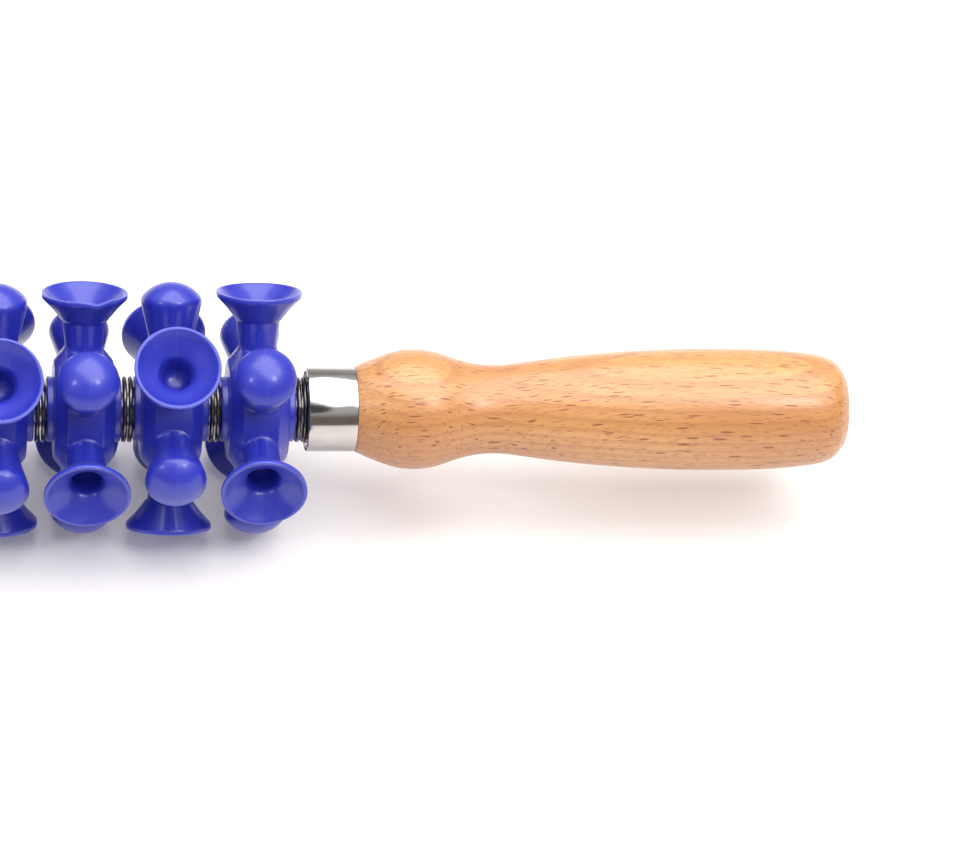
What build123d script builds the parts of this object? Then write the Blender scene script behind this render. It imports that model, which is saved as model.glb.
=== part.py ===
"""Foot massage roller.

A straight steel axle runs between two turned beech handles. Eleven soft moulded rollers
turn on it, each on its own hard sleeve, with two steel thrust washers in every gap. A
lock nut inside each handle's ferrule closes the stack, and the handle screws on behind it.

Millimetres. The axle lies along X, the origin is under its middle on the surface that the
rollers stand on, and +Z is up.
"""

import os
from math import cos, radians, sin

from build123d import *

# --- Axle and thrust washers ------------------------------------------------------------
axle_diameter = 8.0
axle_end_chamfer = 0.8
axle_depth_in_handle = 22.0  # how far the thread runs past the lock nut

washer_diameter = 16.0
washer_thickness = 1.4
washer_bore_clearance = 0.10  # radial, loose on the axle
washer_rim_radius = 0.6  # the rolled edge, almost half the thickness
washers_per_gap = 2

# --- Rollers and the sleeves inside them ------------------------------------------------
roller_count = 11
sleeve_length = 18.1
sleeve_wall = 1.44
sleeve_clearance = 0.06  # radial, running fit on the axle
sleeve_chamfer = 0.3
end_play = 0.10  # along the axle, for each roller
rubber_setback = 0.15  # the sleeve stands this far proud of the rubber at each end

collar_diameter = 15.8
collar_edge_radius = 0.4
hub_diameter = 31.0
hub_width = 14.4
hub_land_width = 8.6  # the cylindrical band between the two chamfers
hub_shoulder_diameter = 23.6
hub_edge_radius = 0.5
hub_root_radius = 0.5  # where the hub's side meets the collar

feelers_per_kind = 3  # suction cups, and as many knobs, taking turns round the hub
feeler_seat_depth = 3.5  # how deep a stem starts below the hub's surface

cup_stem_diameter = 8.8  # at the hub's surface
cup_neck_diameter = 10.9
cup_neck_height = 22.8  # heights are measured from the axle's centre line
cup_rim_height = 29.3
cup_rim_diameter = 20.7
cup_lip_height = 1.0  # the straight band round the outside of the rim
cup_lip_width = 0.9
cup_lip_radius = 0.35
cup_neck_radius = 0.8
cup_pit_diameter = 7.8
cup_pit_edge_height = 24.6
cup_pit_taper = 0.3  # the pit's floor is narrower than its edge by this, radially
cup_pit_floor_height = 20.4
cup_pit_floor_radius = 2.2
cup_pit_edge_radius = 0.6

knob_stem_diameter = 10.0  # at the hub's surface
knob_diameter = 15.0
knob_shoulder_height = 27.0
knob_tip_height = 31.1
knob_shoulder_radius = 1.6

# How far each roller is turned from its even stance, in degrees, from the left end.
# Rollers take turns: one stands with a cup uppermost at the front, the next with a knob.
even_stance = 30.0
roller_turns = (2.0, -1.5, -2.0, 3.0, 2.0, 0.0, 0.0, -2.3, -1.5, 4.5, 1.0)

# --- Handles, ferrules and what holds them ----------------------------------------------
ferrule_diameter = 20.6
ferrule_wall = 1.0
ferrule_length = 12.0
ferrule_edge_chamfer = 0.2

nut_width = 13.0  # across flats
nut_thickness = 6.5
nut_corner_chamfer = 0.7

handle_length = 121.5
handle_shoulder_diameter = 20.7
bulb_rise_diameter = 25.0
bulb_rise_position = 5.1  # positions are measured from the ferrule's end of the wood
shoulder_slope = 0.45  # how steeply the wood rises from the ferrule
bulb_diameter = 29.2
bulb_position = 14.0
neck_diameter = 21.6
neck_position = 34.0
swell_diameter = 25.2
swell_position = 48.0
belly_diameter = 29.8
belly_position = 86.0
butt_shoulder_diameter = 28.0
butt_shoulder_setback = 13.9  # from the butt's flat, back towards the belly
butt_turn_diameter = 18.8
butt_turn_setback = 1.8
butt_flat_diameter = 9.0

insert_diameter = 12.0
insert_length = 18.0
insert_barbs = 6
insert_barb_depth = 0.5
insert_recess = 0.5  # below the tenon's face
axle_bore_clearance = 0.3  # radial, in the wood past the insert
axle_bore_spare_depth = 4.0

# --- Worked out from the values above ---------------------------------------------------
axle_radius = axle_diameter / 2
sleeve_radius = axle_radius + sleeve_clearance + sleeve_wall
rubber_length = sleeve_length - 2 * rubber_setback
roller_pitch = sleeve_length + end_play + washers_per_gap * washer_thickness
gap_count = roller_count + 1
stack_half_length = (gap_count * roller_pitch - sleeve_length - end_play) / 2
tenon_length = ferrule_length - nut_thickness
shoulder_x = stack_half_length + ferrule_length  # where the wood's shoulder meets the ferrule
tenon_x = stack_half_length + nut_thickness  # the tenon's face, against the lock nut
axle_half_length = tenon_x + axle_depth_in_handle
half_step = 180 / feelers_per_kind  # the angle from a cup to the next knob


def stance(index):
    """The turn of a roller about the axle, in degrees, from cups at 0, 120 and 240."""
    between = 0 if index % 2 else half_step
    return even_stance + between - roller_turns[index]


def reach_below(index):
    """How far a roller's lowest cup rim lies below the axle's centre line."""
    angles = [(stance(index) + 2 * n * half_step) % 360 - 180 for n in range(feelers_per_kind)]
    lean = radians(min(abs(angle) for angle in angles))
    lip_height = cup_rim_height - cup_lip_radius
    lip_radius = cup_rim_diameter / 2 - cup_lip_radius
    return lip_height * cos(lean) + lip_radius * sin(lean) + cup_lip_radius


axle_height = max(reach_below(index) for index in range(roller_count))


def foot_radius(stem_diameter, top_diameter, top_height):
    """The radius of a stem's foot, with its taper carried on below the hub's surface."""
    taper = (top_diameter - stem_diameter) / (top_height - hub_diameter / 2)
    return (stem_diameter - taper * feeler_seat_depth) / 2


os.makedirs("parts", exist_ok=True)


def save(shape, label):
    """Writes one node's STEP file."""
    shape.label = label
    export_step(shape, f"parts/{label}.step")


def on_axle(shape, x, turn=0.0):
    """A copy of a shape made about the X axis, set on the axle at x and turned about it."""
    return shape.moved(Location((x, 0, axle_height), (turn, 0, 0)))


# --- Roller: one soft moulding, a hub with suction cups and knobs round it ---------------
stem_foot = hub_diameter / 2 - feeler_seat_depth

with BuildPart() as hub:
    with BuildSketch(Plane.XY):
        with BuildLine():
            right_side = [
                (rubber_length / 2, sleeve_radius),
                (rubber_length / 2, collar_diameter / 2),
                (hub_width / 2, collar_diameter / 2),
                (hub_width / 2, hub_shoulder_diameter / 2),
                (hub_land_width / 2, hub_diameter / 2),
            ]
            left_side = [(-x, radius) for x, radius in reversed(right_side)]
            bends = [collar_edge_radius, hub_root_radius, hub_edge_radius, hub_edge_radius]
            hub_outline = FilletPolyline(*right_side, *left_side, radius=bends + bends[::-1])
            Line(hub_outline @ 1, hub_outline @ 0)
        make_face()
    revolve(axis=Axis.X)

with BuildPart() as cup:
    with BuildSketch(Plane.XZ):
        with BuildLine():
            cup_outline = FilletPolyline(
                (0, stem_foot),
                (foot_radius(cup_stem_diameter, cup_neck_diameter, cup_neck_height), stem_foot),
                (cup_neck_diameter / 2, cup_neck_height),
                (cup_rim_diameter / 2, cup_rim_height - cup_lip_height),
                (cup_rim_diameter / 2, cup_rim_height),
                (cup_rim_diameter / 2 - cup_lip_width, cup_rim_height),
                (cup_pit_diameter / 2, cup_pit_edge_height),
                (cup_pit_diameter / 2 - cup_pit_taper, cup_pit_floor_height),
                (0, cup_pit_floor_height),
                radius=[
                    0,
                    cup_neck_radius,
                    cup_lip_radius,
                    cup_lip_radius,
                    cup_lip_radius,
                    cup_pit_edge_radius,
                    cup_pit_floor_radius,
                ],
            )
            Line(cup_outline @ 1, cup_outline @ 0)
        make_face()
    revolve(axis=Axis.Z)

with BuildPart() as knob:
    with BuildSketch(Plane.XZ) as knob_section:
        dome_rise = knob_tip_height - knob_shoulder_height
        dome_radius = ((knob_diameter / 2) ** 2 + dome_rise**2) / (2 * dome_rise)
        with BuildLine():
            Polyline(
                (0, knob_tip_height),
                (0, stem_foot),
                (foot_radius(knob_stem_diameter, knob_diameter, knob_shoulder_height), stem_foot),
                (knob_diameter / 2, knob_shoulder_height),
            )
            RadiusArc((knob_diameter / 2, knob_shoulder_height), (0, knob_tip_height), -dome_radius)
        make_face()
        fillet(knob_section.vertices().sort_by(Axis.X)[-1], knob_shoulder_radius)
    revolve(axis=Axis.Z)

with BuildPart() as roller:
    add(hub.part)
    for feeler in range(feelers_per_kind):
        add(cup.part.rotate(Axis.X, 2 * feeler * half_step))
        add(knob.part.rotate(Axis.X, (2 * feeler + 1) * half_step))

# --- Sleeve: the roller's hard bearing, a running fit on the axle ------------------------
with BuildPart() as sleeve:
    with BuildSketch(Plane.YZ.offset(-sleeve_length / 2)):
        Circle(sleeve_radius)
        Circle(axle_radius + sleeve_clearance, mode=Mode.SUBTRACT)
    extrude(amount=sleeve_length)
    chamfer(sleeve.edges().filter_by(GeomType.CIRCLE), sleeve_chamfer)

for index in range(roller_count):
    roller_x = (index - (roller_count - 1) / 2) * roller_pitch
    save(on_axle(roller.part, roller_x, stance(index)), f"roller_{index + 1:02d}")
    save(on_axle(sleeve.part, roller_x), f"roller_sleeve_{index + 1:02d}")

# --- Thrust washers: loose in every gap, rolled round at the rim -------------------------
with BuildPart() as washer:
    with BuildSketch(Plane.YZ.offset(-washer_thickness / 2)):
        Circle(washer_diameter / 2)
        Circle(axle_radius + washer_bore_clearance, mode=Mode.SUBTRACT)
    extrude(amount=washer_thickness)
    circles = washer.edges().filter_by(GeomType.CIRCLE)
    fillet(circles.group_by(SortBy.RADIUS)[-1], washer_rim_radius)

for gap in range(gap_count):
    gap_x = (gap - (gap_count - 1) / 2) * roller_pitch
    first_x = gap_x - (washers_per_gap - 1) * washer_thickness / 2
    places = [first_x + n * washer_thickness for n in range(washers_per_gap)]
    pair = Compound([on_axle(washer.part, x) for x in places])
    save(pair, f"thrust_washers_{gap + 1:02d}")

# --- Axle: one straight steel rod, threaded where the nuts and the handles screw on ------
with BuildPart() as axle:
    with BuildSketch(Plane.YZ.offset(-axle_half_length)):
        Circle(axle_radius)
    extrude(amount=2 * axle_half_length)
    chamfer(axle.edges().filter_by(GeomType.CIRCLE), axle_end_chamfer)

save(on_axle(axle.part, 0), "axle")

# --- Lock nut: hexagon, both faces with turned-down corners ------------------------------
with BuildPart() as lock_nut:
    with BuildSketch(Plane.YZ):
        RegularPolygon(nut_width / 2, 6, major_radius=False)
        Circle(axle_radius, mode=Mode.SUBTRACT)
    extrude(amount=nut_thickness)
    with BuildSketch(Plane.XY):
        with BuildLine():
            corner_radius = nut_width / 2 / cos(radians(30))
            Polyline(
                (0, 0),
                (0, nut_width / 2),
                (nut_corner_chamfer, corner_radius),
                (nut_thickness - nut_corner_chamfer, corner_radius),
                (nut_thickness, nut_width / 2),
                (nut_thickness, 0),
                close=True,
            )
        make_face()
    revolve(axis=Axis.X, mode=Mode.INTERSECT)

# --- Ferrule: thin steel tube round the nut and the handle's tenon -----------------------
ferrule_bore_radius = ferrule_diameter / 2 - ferrule_wall

with BuildPart() as ferrule:
    with BuildSketch(Plane.YZ):
        Circle(ferrule_diameter / 2)
        Circle(ferrule_bore_radius, mode=Mode.SUBTRACT)
    extrude(amount=ferrule_length)
    chamfer(ferrule.edges().filter_by(GeomType.CIRCLE), ferrule_edge_chamfer)

# --- Threaded insert: pressed into the handle, with saw-tooth barbs that hold it ---------
with BuildPart() as insert:
    with BuildSketch(Plane.XY):
        with BuildLine():
            barb_pitch = insert_length / insert_barbs
            teeth = []
            for barb in range(insert_barbs):
                teeth.append((barb * barb_pitch, insert_diameter / 2))
                teeth.append(((barb + 1) * barb_pitch, insert_diameter / 2 - insert_barb_depth))
            Polyline((0, axle_radius), *teeth, (insert_length, axle_radius), close=True)
        make_face()
    revolve(axis=Axis.X)

# --- Handle: turned beech, bored for the insert and the axle's end -----------------------
insert_x = insert_recess - tenon_length  # from the wood's shoulder
bore_end_x = axle_depth_in_handle + axle_bore_spare_depth - tenon_length

with BuildPart() as handle:
    with BuildSketch(Plane.XY):
        with BuildLine():
            bulb_top = (bulb_position, bulb_diameter / 2)
            neck_bottom = (neck_position, neck_diameter / 2)
            belly_top = (belly_position, belly_diameter / 2)
            Polyline(
                (handle_length, 0),
                (-tenon_length, 0),
                (-tenon_length, ferrule_bore_radius),
                (0, ferrule_bore_radius),
                (0, handle_shoulder_diameter / 2),
            )
            Spline(
                (0, handle_shoulder_diameter / 2),
                (bulb_rise_position, bulb_rise_diameter / 2),
                bulb_top,
                tangents=((1, shoulder_slope), (1, 0)),
            )
            Spline(bulb_top, neck_bottom, tangents=((1, 0), (1, 0)))
            Spline(
                neck_bottom,
                (swell_position, swell_diameter / 2),
                belly_top,
                tangents=((1, 0), (1, 0)),
            )
            Spline(
                belly_top,
                (handle_length - butt_shoulder_setback, butt_shoulder_diameter / 2),
                (handle_length - butt_turn_setback, butt_turn_diameter / 2),
                (handle_length, butt_flat_diameter / 2),
                tangents=((1, 0), (0, -1)),
            )
            Line((handle_length, butt_flat_diameter / 2), (handle_length, 0))
        make_face()
    revolve(axis=Axis.X)
    with BuildSketch(Plane.YZ.offset(-tenon_length)):
        Circle(axle_radius + axle_bore_clearance)
    extrude(amount=bore_end_x + tenon_length, mode=Mode.SUBTRACT)
    with BuildSketch(Plane.YZ.offset(-tenon_length)):
        Circle(insert_diameter / 2)
    extrude(amount=insert_recess, mode=Mode.SUBTRACT)
    with BuildSketch(Plane.YZ.offset(insert_x)):
        Circle(axle_radius)
    extrude(amount=insert_length, mode=Mode.SUBTRACT)
    add(insert.part.moved(Location((insert_x, 0, 0))), mode=Mode.SUBTRACT)

for shape, x, name in (
    (lock_nut.part, stack_half_length, "lock_nut"),
    (ferrule.part, stack_half_length, "ferrule"),
    (insert.part, shoulder_x + insert_x, "threaded_insert"),
    (handle.part, shoulder_x, "handle"),
):
    right = on_axle(shape, x)
    save(right, f"{name}_right")
    save(right.mirror(Plane.YZ), f"{name}_left")
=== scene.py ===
"""Foot massage roller: eleven soft wheels on a steel axle between two turned beech handles."""

import random
from math import atan2, cos, exp, hypot, pi, radians, sin, sqrt, tau

import bmesh
import bpy
from mathutils import Matrix, Vector


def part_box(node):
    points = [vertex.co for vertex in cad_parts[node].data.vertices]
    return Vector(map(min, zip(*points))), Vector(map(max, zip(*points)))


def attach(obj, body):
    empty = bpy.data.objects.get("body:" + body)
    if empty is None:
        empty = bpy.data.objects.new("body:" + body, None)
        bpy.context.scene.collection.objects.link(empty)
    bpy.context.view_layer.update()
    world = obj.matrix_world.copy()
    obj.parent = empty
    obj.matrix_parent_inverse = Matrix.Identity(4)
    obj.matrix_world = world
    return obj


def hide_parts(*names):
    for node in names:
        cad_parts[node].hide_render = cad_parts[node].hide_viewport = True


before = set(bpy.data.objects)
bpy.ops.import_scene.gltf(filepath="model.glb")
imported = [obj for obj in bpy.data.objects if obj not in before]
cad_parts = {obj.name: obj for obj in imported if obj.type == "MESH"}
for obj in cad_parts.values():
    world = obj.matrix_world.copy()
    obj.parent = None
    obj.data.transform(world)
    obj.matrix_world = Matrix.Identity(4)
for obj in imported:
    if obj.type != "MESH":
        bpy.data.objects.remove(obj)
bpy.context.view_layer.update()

# --- Camera, floor and light ---------------------------------------------------------------
# The stick lies on a white table. The camera looks down on it from the front, over the
# middle of the stick, and is turned towards the right-hand end.
mm = 0.001
scene = bpy.context.scene
axle_height = (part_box("axle")[0][2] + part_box("axle")[1][2]) / 2
camera_elevation = radians(45)
camera_turn = radians(7.78)
camera_distance = 1179 * mm
framed_x = 159.7 * mm
aim_below_axle = 5.1 * mm
focal_length = 181.2

forward = Vector(
    (
        sin(camera_turn),
        cos(camera_turn) * cos(camera_elevation),
        -cos(camera_turn) * sin(camera_elevation),
    )
)
camera_up = Vector((0, sin(camera_elevation), cos(camera_elevation)))
camera_right = forward.cross(camera_up)
camera_data = bpy.data.cameras.new("camera")
camera_data.lens = focal_length
camera_data.sensor_width = 36
camera_data.clip_end = 20
camera = bpy.data.objects.new("camera", camera_data)
aim = Vector((framed_x, 0, axle_height)) - camera_up * aim_below_axle
camera.matrix_world = Matrix.Translation(aim - forward * camera_distance) @ (
    Matrix((camera_right, camera_up, -forward)).transposed().to_4x4()
)
scene.collection.objects.link(camera)
scene.camera = camera
scene.view_settings.view_transform = "Standard"


def softbox(name, place, target, size, power, color):
    """A soft studio light at a place, facing a target."""
    data = bpy.data.lights.new(name, "AREA")
    data.shape = "RECTANGLE"
    data.size, data.size_y = size
    data.energy = power
    data.color = color
    light = bpy.data.objects.new(name, data)
    light.location = place
    light.rotation_euler = (Vector(target) - Vector(place)).to_track_quat("-Z", "Y").to_euler()
    scene.collection.objects.link(light)


softbox("key", (0.25, 0.12, 1.20), (0.10, 0, 0), (1.90, 1.40), 29.0, (1.0, 0.98, 0.955))
softbox("spot", (0.62, -0.55, 0.95), (0.1, 0, 0), (0.22, 0.22), 2.6, (1.0, 0.98, 0.96))
softbox("side", (-0.75, -0.45, 0.75), (0, 0, 0), (0.14, 0.22), 1.8, (0.95, 0.97, 1.0))


class Value:
    """A number that changes over a surface, so that shader maths reads as arithmetic."""

    def __init__(self, tree, socket):
        self.tree = tree
        self.socket = socket

    def math(self, operation, *others, flipped=False):
        node = self.tree.nodes.new("ShaderNodeMath")
        node.operation = operation
        terms = (*others, self) if flipped else (self, *others)
        for slot, term in zip(node.inputs, terms):
            connect(self.tree, slot, term)
        return Value(self.tree, node.outputs[0])

    def __add__(self, other):
        return self.math("ADD", other)

    __radd__ = __add__

    def __mul__(self, other):
        return self.math("MULTIPLY", other)

    __rmul__ = __mul__

    def __sub__(self, other):
        return self.math("SUBTRACT", other)

    def __rsub__(self, other):
        return self.math("SUBTRACT", other, flipped=True)

    def __truediv__(self, other):
        return self.math("DIVIDE", other)

    def step(self, low, high):
        """0 below low, 1 above high, and smooth between. A high below low turns it round."""
        node = self.tree.nodes.new("ShaderNodeMapRange")
        node.interpolation_type = "SMOOTHSTEP"
        low_out, high_out = (0, 1) if low < high else (1, 0)
        terms = (self, min(low, high), max(low, high), low_out, high_out)
        for slot, term in zip(node.inputs, terms):
            connect(self.tree, slot, term)
        return Value(self.tree, node.outputs[0])


def connect(tree, slot, term):
    """Puts a number, a colour or another node's output into a socket."""
    if isinstance(term, Value):
        tree.links.new(term.socket, slot)
    else:
        slot.default_value = term


class Finish:
    """A material under a plain name, and the nodes it is made with."""

    def __init__(self, tree, shader=None, material=None):
        self.tree = tree
        self.shader = shader
        self.material = material

    @classmethod
    def material(cls, name, **constants):
        material = bpy.data.materials.new(name)
        material.use_nodes = True
        tree = material.node_tree
        finish = cls(tree, tree.nodes["Principled BSDF"], material)
        for socket, value in constants.items():
            finish.shader.inputs[socket.replace("_", " ")].default_value = value
        return finish

    def node(self, kind, settings=None, output=0, **inputs):
        """Any other node: its type, its settings, and the values or links of its sockets."""
        node = self.tree.nodes.new("ShaderNode" + kind)
        for setting, value in (settings or {}).items():
            setattr(node, setting, value)
        for name, term in inputs.items():
            connect(self.tree, node.inputs[name.replace("_", " ")], term)
        return Value(self.tree, node.outputs[output])

    def place(self):
        """Where a point is on the whole object, in metres."""
        return self.node("TexCoord", output=3)

    def stretched(self, scale, turn=(0, 0, 0), shift=(0, 0, 0)):
        """The place, with the pattern's repeats per metre along each axis."""
        return self.node("Mapping", Vector=self.place(), Location=shift, Rotation=turn, Scale=scale)

    def noise(self, vector, scale=1.0, detail=3.0, roughness=0.5):
        return self.node("TexNoise", Vector=vector, Scale=scale, Detail=detail, Roughness=roughness)

    def along(self, vector, axis):
        """One coordinate of a vector: axis 0, 1 or 2."""
        return self.node("SeparateXYZ", output=axis, Vector=vector)

    def agreement(self, vector, direction):
        """How nearly a vector points along a fixed direction: 1 along it, -1 against it."""
        node = self.tree.nodes.new("ShaderNodeVectorMath")
        node.operation = "DOT_PRODUCT"
        connect(self.tree, node.inputs[0], vector)
        connect(self.tree, node.inputs[1], direction)
        return Value(self.tree, node.outputs[1])

    def mix(self, factor, first, second):
        """A colour between two colours."""
        node = self.tree.nodes.new("ShaderNodeMix")
        node.data_type = "RGBA"
        for slot, term in zip((node.inputs[0], node.inputs[6], node.inputs[7]), (factor, first, second)):
            connect(self.tree, slot, term)
        return Value(self.tree, node.outputs[2])

    def bump(self, height, depth):
        """A surface relief, with its depth in metres."""
        return self.node("Bump", Height=height, Distance=depth)

    def set(self, **inputs):
        for name, term in inputs.items():
            connect(self.tree, self.shader.inputs[name.replace("_", " ")], term)


# The table is matt white board that glows faintly, a painted light that lightens the shadows on it.
# The room is white, and darker low down, other than beyond the table. A dark patch where the
# camera stands is what bright metal shows as a dark band.
room = bpy.data.worlds.new("room")
room.use_nodes = True
scene.world = room
sky = Finish(room.node_tree)
look = sky.node("TexCoord")
toward_camera = sky.agreement(look, -forward)
height = sky.along(look, 2)
behind = toward_camera.step(-0.25, -0.60)
low_down = height.step(0.62, 0.30) * (1 - behind * 0.8)
walls = sky.mix(low_down, (0.70, 0.70, 0.71, 1), (0.25, 0.205, 0.185, 1))
dark_patch = toward_camera.step(0.972, 0.985)
room_color = sky.mix(dark_patch * 0.95, walls, (0.05, 0.045, 0.05, 1))
connect(room.node_tree, room.node_tree.nodes["Background"].inputs[0], room_color)

board = Finish.material(
    "glowing_white_board",
    Roughness=0.75,
    # The faint glow is painted light: it lifts the shadows cast on the board.
    Emission_Color=(1, 0.98, 0.97, 1),
    Emission_Strength=0.13,
)
board_grain = board.noise(board.stretched((220, 220, 220)), detail=2)
board.set(Base_Color=board.mix(board_grain, (0.735, 0.72, 0.715, 1), (0.755, 0.74, 0.735, 1)))
board.set(Normal=board.bump(board_grain, 0.05 * mm))
table_half_width = 3
table = bmesh.new()
bmesh.ops.create_grid(table, x_segments=2, y_segments=2, size=table_half_width)
table_mesh = bpy.data.meshes.new("table")
table.to_mesh(table_mesh)
table_top = bpy.data.objects.new("table", table_mesh)
table_mesh.materials.append(board.material)
scene.collection.objects.link(table_top)


# --- Rollers -------------------------------------------------------------------------------
# Each roller is one soft PVC moulding on a hard sleeve: a chamfered hub with three suction
# cups and three knobs taking turns round it. The mould parts across the middle, which
# leaves a fine line over the hub, the knobs and the cups.
hub_radius = 15.5 * mm
hub_land_half = 4.3 * mm
hub_side_half = 7.2 * mm
hub_side_radius = 11.8 * mm
collar_radius = 7.9 * mm
collar_half = 8.9 * mm
sleeve_radius = 5.5 * mm
hub_edge_round = 0.35 * mm
hub_root_round = 0.4 * mm
cup_rim_radius = 10.35 * mm
cup_rim_height = 29.3 * mm
feeler_angle = radians(60)
roller_pitch = 21 * mm
even_stance = 30
roller_turns = (2.0, -1.5, -2.0, 3.0, 2.0, 0.0, 0.0, -2.3, -1.5, 4.5, 1.0)
stem_lean = 0.010
bell_start = 23 * mm
rim_edge_start = 9.9 * mm
rim_sag = (0.04, 0.13)
kinked_cup = (8, 4)
kink_depth = 0.75 * mm
kink_angle = 0.25 - pi / 2
kink_width = 0.22


def turned(outline, steps, loop=False):
    """A closed solid of revolution about Z from (radius, height) points."""
    bm = bmesh.new()
    chain = [bm.verts.new((radius, 0, height)) for radius, height in outline]
    for start, end in zip(chain, chain[1:] + chain[:1] if loop else chain[1:]):
        bm.edges.new((start, end))
    bmesh.ops.spin(
        bm,
        geom=bm.verts[:] + bm.edges[:],
        cent=(0, 0, 0),
        axis=(0, 0, 1),
        angle=tau,
        steps=steps,
        use_merge=True,
    )
    bmesh.ops.remove_doubles(bm, verts=bm.verts, dist=0.002 * mm)
    bmesh.ops.recalc_face_normals(bm, faces=bm.faces)
    return bm


def round_rings(bm, rings, segments=3):
    """Rounds whole rings of a turned solid, each given by its radius, height and width."""
    for radius, height, width in rings:
        edges = [
            edge
            for edge in bm.edges
            if all(
                abs(hypot(v.co.x, v.co.y) - radius) < 0.01 * mm and abs(v.co.z - height) < 0.01 * mm
                for v in edge.verts
            )
        ]
        bmesh.ops.bevel(
            bm,
            geom=edges,
            offset=width,
            segments=segments,
            profile=0.5,
            affect="EDGES",
            clamp_overlap=True,
            material=-1,
        )


def hub_surface(x, y):
    """The height of the hub's round surface over a point."""
    slope = (hub_radius - hub_side_radius) / (hub_side_half - hub_land_half)
    radius = hub_radius - max(0, abs(x) - hub_land_half) * slope
    return sqrt(max(radius**2 - y**2, 0))


def seated(bm):
    """Lets the foot of a stem flow onto the hub, as the mould's small radius does."""
    blend_height = 3.2 * mm
    for v in bm.verts:
        above = v.co.z - hub_radius
        share = min(1, max(0, 1 - above / blend_height))
        share = share * share * (3 - 2 * share)
        v.co.z += (hub_surface(v.co.x, v.co.y) - hub_radius) * share


foot_rings = [(0, -3.5), (4.0, -3.5), (5.5, -1.2), (5.3, -0.2), (4.95, 0.02), (4.7, 0.22), (4.55, 0.6)]
cup_outline = [(r * mm, hub_radius + h * mm) for r, h in foot_rings]
cup_outline += [
    (r * mm, h * mm)
    for r, h in (
        (4.65, 17.4),
        (4.95, 19.6),
        (5.25, 22.1),
        (5.40, 22.45),
        (5.78, 22.60),
        (6.10, 23.1),
        (8.15, 25.75),
        (10.35, 28.1),
        (10.35, 29.3),
        (9.55, 29.3),
        (8.80, 28.35),
        (7.3, 27.2),
        (5.6, 25.95),
        (3.95, 24.65),
        (3.75, 23.2),
        (3.65, 20.4),
        (3.1, 18.4),
        (1.75, 17.6),
        (0, 17.4),
    )
]
cup = turned(cup_outline, 72)
round_rings(
    cup,
    (
        (10.35 * mm, 28.1 * mm, 0.30 * mm),
        (10.35 * mm, 29.3 * mm, 0.20 * mm),
        (9.55 * mm, 29.3 * mm, 0.26 * mm),
        (3.95 * mm, 24.65 * mm, 0.85 * mm),
    ),
)
seated(cup)

knob_dome = 8.9 * mm
knob_tip = 31.1 * mm
knob_outline = [(r * 1.14 * mm, hub_radius + h * mm) for r, h in foot_rings]
knob_outline += [(r * mm, h * mm) for r, h in ((5.5, 18.2), (6.3, 21.6), (7.02, 24.6), (7.5, 26.7))]
knob_outline += [
    (knob_dome * sin(radians(a)), knob_tip - knob_dome + knob_dome * cos(radians(a)))
    for a in (51, 42, 34, 26, 18, 11, 5, 0)
]
knob = turned(knob_outline, 64)
knob_shoulder = (7.5 * mm, 26.7 * mm, 0.75 * mm)
dome_edge = (*knob_outline[-8], 0.4 * mm)
round_rings(knob, (knob_shoulder, dome_edge))
seated(knob)

hub_side = [
    (sleeve_radius, -collar_half),
    (collar_radius, -collar_half),
    (collar_radius, -hub_side_half),
    (hub_side_radius, -hub_side_half),
    (hub_radius, -hub_land_half),
]
hub = turned(hub_side + [(radius, -x) for radius, x in reversed(hub_side)], 144, loop=True)
round_rings(
    hub,
    [(collar_radius, side * collar_half, hub_edge_round) for side in (-1, 1)]
    + [(hub_side_radius, side * hub_side_half, hub_edge_round) for side in (-1, 1)]
    + [(hub_radius, side * hub_land_half, hub_edge_round) for side in (-1, 1)]
    + [(collar_radius, side * hub_side_half, hub_root_round) for side in (-1, 1)],
    segments=4,
)
bmesh.ops.transform(hub, matrix=Matrix.Rotation(radians(90), 4, "Y"), verts=hub.verts)


def as_object(bm, name):
    """Turns a mesh under construction into a smooth-shaded object."""
    mesh = bpy.data.meshes.new(name)
    bm.to_mesh(mesh)
    bm.free()
    mesh.shade_smooth()
    piece = bpy.data.objects.new(name, mesh)
    scene.collection.objects.link(piece)
    return piece


def gathered(solids):
    """Several solids in one mesh, each given with the matrix that puts it in its place."""
    whole = bmesh.new()
    for solid, put in solids:
        shape = bpy.data.meshes.new("shape")
        solid.to_mesh(shape)
        shape.transform(put)
        whole.from_mesh(shape)
        bpy.data.meshes.remove(shape)
    return whole


feelers = [(cup, Matrix.Rotation(2 * n * feeler_angle, 4, "X")) for n in range(3)]
feelers += [(knob, Matrix.Rotation((2 * n + 1) * feeler_angle, 4, "X")) for n in range(3)]
feelers_piece = as_object(gathered(feelers), "feelers")
moulding = as_object(hub, "moulding")
union = moulding.modifiers.new("union", "BOOLEAN")
union.operation = "UNION"
union.solver = "EXACT"
union.object = feelers_piece
fused = bpy.data.meshes.new_from_object(moulding.evaluated_get(bpy.context.evaluated_depsgraph_get()))
for spare in (moulding, feelers_piece):
    bpy.data.objects.remove(spare)

pvc = Finish.material(
    "soft_blue_pvc",
    IOR=1.46,
    Subsurface_Weight=0.04,
    Subsurface_Radius=(0.35, 0.45, 1.0),
    Subsurface_Scale=0.8 * mm,
    Coat_Roughness=0.20,
    Sheen_Weight=0.05,
    Sheen_Roughness=0.4,
    Sheen_Tint=(0.6, 0.75, 1.0, 1),
)
own_place = pvc.node("Attribute", {"attribute_name": "own_place"}, output=1)
lip_highlight = pvc.node("Attribute", {"attribute_name": "lip_highlight"}, output=2)
across = pvc.along(own_place, 0)
cloud = pvc.noise(own_place, scale=90, detail=3)
skin = pvc.noise(own_place, scale=1500, detail=2, roughness=0.6)
speck = pvc.noise(own_place, scale=2600, detail=1).step(0.73, 0.80)
parting = across.math("ABSOLUTE").step(0.16 * mm, 0.02 * mm)
blue = pvc.mix(cloud, (0.010, 0.016, 0.33, 1), (0.018, 0.029, 0.42, 1))
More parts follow.
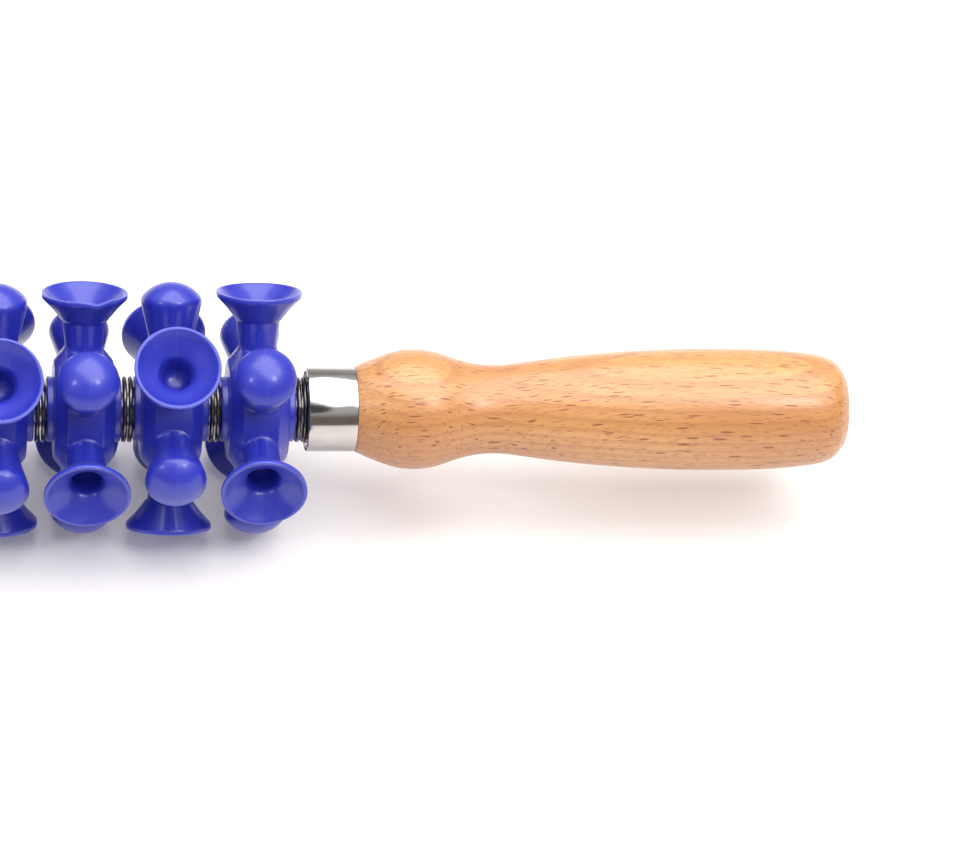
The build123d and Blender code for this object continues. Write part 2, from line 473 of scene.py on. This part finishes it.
# The lighter blue on each cup lip is a painted highlight.
blue = pvc.mix(lip_highlight * 0.13, blue, (0.20, 0.25, 0.85, 1))
blue = pvc.mix(parting * 0.10, blue, (0.14, 0.17, 0.80, 1))
blue = pvc.mix(speck * 0.30, blue, (0.30, 0.34, 0.85, 1))
pvc.set(Base_Color=blue, Roughness=0.36 + cloud * 0.10 + skin * 0.06 - lip_highlight * 0.05, Coat_Weight=0.60)
pvc.set(Normal=pvc.bump(skin * 0.25 + cloud * 1.6 + parting * 0.5, 0.06 * mm))

chance = random.Random(7)
for index, turn in enumerate(roller_turns):
    number = f"{index + 1:02d}"
    bm = bmesh.new()
    bm.from_mesh(fused)
    place_layer = bm.verts.layers.float_vector.new("own_place")
    lip_highlight_layer = bm.verts.layers.float.new("lip_highlight")
    wobbles = [(chance.uniform(0, tau), chance.uniform(*rim_sag) * mm) for _ in range(3)]
    leans = [chance.uniform(-stem_lean, stem_lean) for _ in range(6)]
    pattern_shift = Vector((0, chance.uniform(0, 1), chance.uniform(0, 1))) * 0.4
    for v in bm.verts:
        v[place_layer] = v.co + pattern_shift
        angle = atan2(-v.co.y, v.co.z) % tau
        feeler = round(angle / feeler_angle) % 6
        home = Matrix.Rotation(-feeler * feeler_angle, 3, "X")
        spot = home @ v.co
        reach = hypot(spot.x, spot.y)
        if spot.z > hub_radius + 1 * mm:
            spot.y += (spot.z - hub_radius) * leans[feeler]
        if feeler % 2 == 0 and spot.z > bell_start:
            share = (spot.z - bell_start) / (cup_rim_height - bell_start)
            phase, depth = wobbles[feeler // 2]
            around = atan2(spot.y, spot.x)
            spot.z -= depth * share**2 * (1 + cos(2 * around + phase))
            if (index, feeler) == kinked_cup:
                kink = exp(-(((around - kink_angle) / kink_width) ** 2))
                spot.z -= kink_depth * kink * share**2 * (reach / cup_rim_radius) ** 4
            # The outer lip of each cup is masked for its painted highlight.
            v[lip_highlight_layer] = min(1, max(0, (reach - rim_edge_start) / (0.35 * mm))) * (share > 0.95)
        v.co = home.inverted() @ spot
    stance = even_stance + (0 if index % 2 else 60) - turn
    x = (index - (len(roller_turns) - 1) / 2) * roller_pitch
    put = Matrix.Translation((x, 0, axle_height)) @ Matrix.Rotation(radians(stance), 4, "X")
    bmesh.ops.transform(bm, matrix=put, verts=bm.verts)
    piece = as_object(bm, f"soft_roller_{number}")
    piece.data.materials.append(pvc.material)
    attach(piece, f"roller_{number}_body")
    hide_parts(f"roller_{number}")


# --- Sleeves -------------------------------------------------------------------------------
# Each roller's bearing is a hard plastic tube, pushed into the soft moulding. Only its
# thin end shows, beside the washers.
sleeve_finish = Finish.material("sleeve_plastic", IOR=1.48)
fine = sleeve_finish.noise(sleeve_finish.stretched((400, 2200, 2200)))
sleeve_finish.set(Base_Color=sleeve_finish.mix(fine, (0.045, 0.045, 0.46, 1), (0.07, 0.07, 0.55, 1)))
sleeve_finish.set(Roughness=0.30 + fine * 0.15, Normal=sleeve_finish.bump(fine, 0.02 * mm))
for name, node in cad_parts.items():
    if name.startswith("roller_sleeve"):
        node.data.materials.clear()
        node.data.materials.append(sleeve_finish.material)


# --- Thrust washers ------------------------------------------------------------------------
# Two bright steel washers lie loose in each gap. They are punched and tumbled, so their
# rims are round, and each leans its own way on the axle.
washer_radius = 8.0 * mm
washer_bore = 4.2 * mm
washer_half = 0.50 * mm
washer_rim_round = 0.47 * mm
washer_bore_round = 0.12 * mm
washer_lean = 0.8
washer_drop = 0.12 * mm
washer_step = 0.7 * mm
washer_steel = Finish.material("tumbled_steel", Metallic=1.0)
scratch = washer_steel.noise(washer_steel.stretched((4000, 700, 700)), detail=4)
washer_steel.set(Base_Color=washer_steel.mix(scratch, (0.115, 0.105, 0.10, 1), (0.19, 0.175, 0.165, 1)))
washer_steel.set(Roughness=0.10 + scratch * 0.08)
ring = [(washer_bore, -washer_half), (washer_radius, -washer_half)]
ring += [(washer_radius, washer_half), (washer_bore, washer_half)]
washer = turned(ring, 96, loop=True)
corners = [(washer_radius, way * washer_half, washer_rim_round) for way in (-1, 1)]
corners += [(washer_bore, way * washer_half, washer_bore_round) for way in (-1, 1)]
round_rings(washer, corners, segments=4)
for gap in range(len(roller_turns) + 1):
    node_name = f"thrust_washers_{gap + 1:02d}"
    low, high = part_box(node_name)
    middle = (low[0] + high[0]) / 2
    pair = []
    for side in (-1, 1):
        lean = Matrix.Rotation(radians(chance.uniform(-washer_lean, washer_lean)), 4, "Y")
        swing = Matrix.Rotation(chance.uniform(0, tau), 4, "Z")
        put = Matrix.Translation((middle + side * washer_step, 0, axle_height - washer_drop))
        put = put @ Matrix.Rotation(radians(90), 4, "Y") @ swing @ lean
        pair.append((washer, put))
    piece = as_object(gathered(pair), f"washer_pair_{gap + 1:02d}")
    piece.data.materials.append(washer_steel.material)
    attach(piece, "axle_and_handles")
    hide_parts(node_name)


# --- Axle, lock nuts and threaded inserts --------------------------------------------------
# The axle is a drawn steel rod. A zinc-plated nut in each ferrule closes the stack, and a
# brass insert in each handle takes the end of the axle.
def drawn_metal(name, dark, light, rough):
    """Metal with fine lines along the axle."""
    metal = Finish.material(name, Metallic=1.0)
    lines = metal.noise(metal.stretched((60, 2600, 2600)), detail=4)
    metal.set(Base_Color=metal.mix(lines, dark, light), Roughness=rough + lines * 0.2)
    metal.set(Normal=metal.bump(lines, 0.02 * mm))
    return metal.material


hidden_metals = {
    "axle": drawn_metal("drawn_steel", (0.44, 0.44, 0.45, 1), (0.62, 0.62, 0.63, 1), 0.20),
    "lock_nut": drawn_metal("zinc_plate", (0.50, 0.50, 0.52, 1), (0.66, 0.66, 0.68, 1), 0.28),
    "threaded_insert": drawn_metal("turned_brass", (0.66, 0.46, 0.20, 1), (0.82, 0.62, 0.32, 1), 0.25),
}
for name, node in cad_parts.items():
    for start, metal in hidden_metals.items():
        if name.startswith(start):
            node.data.materials.clear()
            node.data.materials.append(metal)


# --- Ferrules ------------------------------------------------------------------------------
# A short polished tube is pushed over each handle's tenon. It is turned from thin steel
# tube, so it has very fine lines round it and a small rolled edge at both ends.
ferrule_radius = 10.3 * mm
ferrule_wall = 1.0 * mm
ferrule_edge_round = 0.22 * mm
ferrule_steel = Finish.material("polished_ferrule", Metallic=1.0)
turning = ferrule_steel.noise(ferrule_steel.stretched((9000, 60, 60)), detail=3)
broad = ferrule_steel.noise(ferrule_steel.stretched((300, 90, 90)), detail=2)
smear = ferrule_steel.noise(ferrule_steel.stretched((180, 260, 260)), detail=4)
ferrule_steel.set(Base_Color=ferrule_steel.mix(smear, (0.42, 0.395, 0.375, 1), (0.56, 0.54, 0.52, 1)))
ferrule_steel.set(Roughness=0.06 + turning * 0.06 + smear * 0.07)
ferrule_steel.set(Normal=ferrule_steel.bump(turning * 0.35 + broad * 0.8, 0.010 * mm))
for side in ("left", "right"):
    low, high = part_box(f"ferrule_{side}")
    length = high[0] - low[0]
    tube = turned(
        [
            (ferrule_radius - ferrule_wall, 0),
            (ferrule_radius, 0),
            (ferrule_radius, length),
            (ferrule_radius - ferrule_wall, length),
        ],
        144,
        loop=True,
    )
    rolled = [
        (ferrule_radius - inset, end, ferrule_edge_round)
        for inset in (0, ferrule_wall)
        for end in (0, length)
    ]
    round_rings(tube, rolled, segments=3)
    bmesh.ops.transform(
        tube,
        matrix=Matrix.Translation((low[0], 0, axle_height)) @ Matrix.Rotation(radians(90), 4, "Y"),
        verts=tube.verts,
    )
    piece = as_object(tube, f"ferrule_tube_{side}")
    piece.data.materials.append(ferrule_steel.material)
    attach(piece, "axle_and_handles")
    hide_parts(f"ferrule_{side}")


# --- Handles -------------------------------------------------------------------------------
# Each handle is turned from one blank of beech: a bulb behind the ferrule, a slim neck and
# a long swelling grip with a nearly flat butt. It is lacquered, and the grain runs lengthwise.
handle_length = 121.5 * mm
tenon_length = 5.5 * mm
tenon_radius = 9.3 * mm
insert_bore_radius = 6.0 * mm
insert_bore_depth = 13.0 * mm
axle_bore_radius = 4.3 * mm
bore_depth = 20.5 * mm
sharp_turn = radians(35)
handle_stations = (
    # position from the shoulder, radius, slope
    (0.0, 10.35, 0.50),
    (5.1, 12.55, 0.40),
    (9.8, 14.1, 0.24),
    (14.2, 14.6, 0.0),
    (20.4, 13.75, -0.30),
    (26.3, 11.85, -0.26),
    (34.0, 10.82, 0.0),
    (43.7, 11.85, 0.135),
    (55.5, 13.3, 0.095),
    (70.0, 14.4, 0.055),
    (87.0, 14.9, 0.0),
    (98.6, 14.8, -0.03),
    (107.6, 14.3, -0.085),
    (113.0, 13.7, -0.15),
    (117.0, 12.7, -0.42),
    (119.9, 10.3, -1.35),
)


def profile_points(stations, rings_per_station):
    """Points on the smooth curve through the stations, with the slope that each states."""
    points = []
    for (x0, r0, s0), (x1, r1, s1) in zip(stations, stations[1:]):
        span = x1 - x0
        for ring in range(rings_per_station):
            t = ring / rings_per_station
            radius = r0 * (2 * t**3 - 3 * t**2 + 1) + s0 * span * (t**3 - 2 * t**2 + t)
            radius += r1 * (3 * t**2 - 2 * t**3) + s1 * span * (t**3 - t**2)
            points.append((radius * mm, (x0 + span * t) * mm))
    return points


handle_outline = [
    (0, bore_depth),
    (axle_bore_radius, bore_depth),
    (axle_bore_radius, insert_bore_depth + 0.1 * mm),
    (insert_bore_radius, insert_bore_depth),
    (insert_bore_radius, -tenon_length),
    (tenon_radius, -tenon_length),
    (tenon_radius, 0),
]
handle_outline += profile_points(handle_stations, 5)
handle_outline += [
    (r * mm, handle_length - inset * mm)
    for r, inset in ((10.3, 1.6), (9.4, 0.9), (8.1, 0.42), (6.5, 0.14), (4.7, 0.03), (2.5, 0.0), (0, 0.0))
]

beech = Finish.material("lacquered_beech", IOR=1.5, Coat_Roughness=0.24)
# The rings of the tree are wide shells round a pith far below the stick, so they cut the
# upper side of each swelling as ovals and run as lines along its flanks.
trunk = beech.stretched((1, 1, 1), turn=(radians(4), radians(0.5), 0), shift=(0, 0.006, 0.062))
waver = beech.noise(beech.stretched((14, 60, 60)), detail=3)
trunk_y = beech.along(trunk, 1)
trunk_z = beech.along(trunk, 2)
from_pith = (trunk_y * trunk_y + trunk_z * trunk_z).math("SQRT") + waver * 2.2 * mm
ring_phase = (from_pith / (2.3 * mm)).math("FRACT")
late_wood = ring_phase.step(0.35, 0.92) * ring_phase.step(1.0, 0.94)
fibre = beech.noise(beech.stretched((45, 1500, 1500)), detail=4, roughness=0.6)
patch = beech.noise(beech.stretched((9, 55, 55)), detail=2)


def ray_lenses(length, thickness, depth, shift, reach):
    """The tree's rays: thin upright lenses that show as dashes above and flecks on the sides."""
    cells = beech.stretched((1 / length, 1 / thickness, 1 / depth), turn=(radians(4), 0, 0), shift=shift)
    spot = beech.node("TexVoronoi", {"feature": "F1"}, Vector=cells, Scale=1.0, Randomness=1.0)
    return spot.step(reach, reach * 0.62)


dashes = ray_lenses(9.5 * mm, 0.62 * mm, 1.9 * mm, (0.3, 0.1, 0.6), 0.23)
small_dashes = ray_lenses(4.6 * mm, 0.34 * mm, 1.0 * mm, (0.7, 0.4, 0.2), 0.30)
flecks = ray_lenses(2.6 * mm, 0.55 * mm, 3.4 * mm, (0.2, 0.9, 0.5), 0.40)
beech_color = beech.mix(patch.step(0.35, 0.7), (0.50, 0.220, 0.075, 1), (0.60, 0.305, 0.106, 1))
beech_color = beech.mix(late_wood * 0.38, beech_color, (0.37, 0.135, 0.050, 1))
beech_color = beech.mix(flecks * 0.30, beech_color, (0.35, 0.135, 0.066, 1))
beech_color = beech.mix(fibre.step(0.42, 0.75) * 0.42, beech_color, (0.39, 0.155, 0.046, 1))
beech_color = beech.mix(small_dashes * 0.55, beech_color, (0.29, 0.085, 0.026, 1))
beech_color = beech.mix(dashes * 0.85, beech_color, (0.22, 0.050, 0.015, 1))
beech.set(Base_Color=beech_color, Roughness=0.36 + fibre * 0.12 + dashes * 0.12, Coat_Weight=0.55)
lacquer_waves = beech.noise(beech.stretched((60, 130, 130)), detail=2)
relief = fibre * 0.35 + lacquer_waves * 1.8 - dashes * 0.9 - small_dashes * 0.4
beech.set(Normal=beech.bump(relief, 0.07 * mm))
for side, way in (("left", -1), ("right", 1)):
    low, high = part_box(f"handle_{side}")
    shoulder_x = high[0] - handle_length if way > 0 else low[0] + handle_length
    blank = turned(handle_outline, 128)
    lay_down = Matrix.Translation((shoulder_x, 0, axle_height))
    lay_down = lay_down @ Matrix.Rotation(radians(90) * way, 4, "Y")
    bmesh.ops.transform(blank, matrix=lay_down, verts=blank.verts)
    for edge in blank.edges:
        edge.smooth = edge.calc_face_angle(0) < sharp_turn
    piece = as_object(blank, f"beech_handle_{side}")
    piece.data.materials.append(beech.material)
    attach(piece, "axle_and_handles")
    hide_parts(f"handle_{side}")
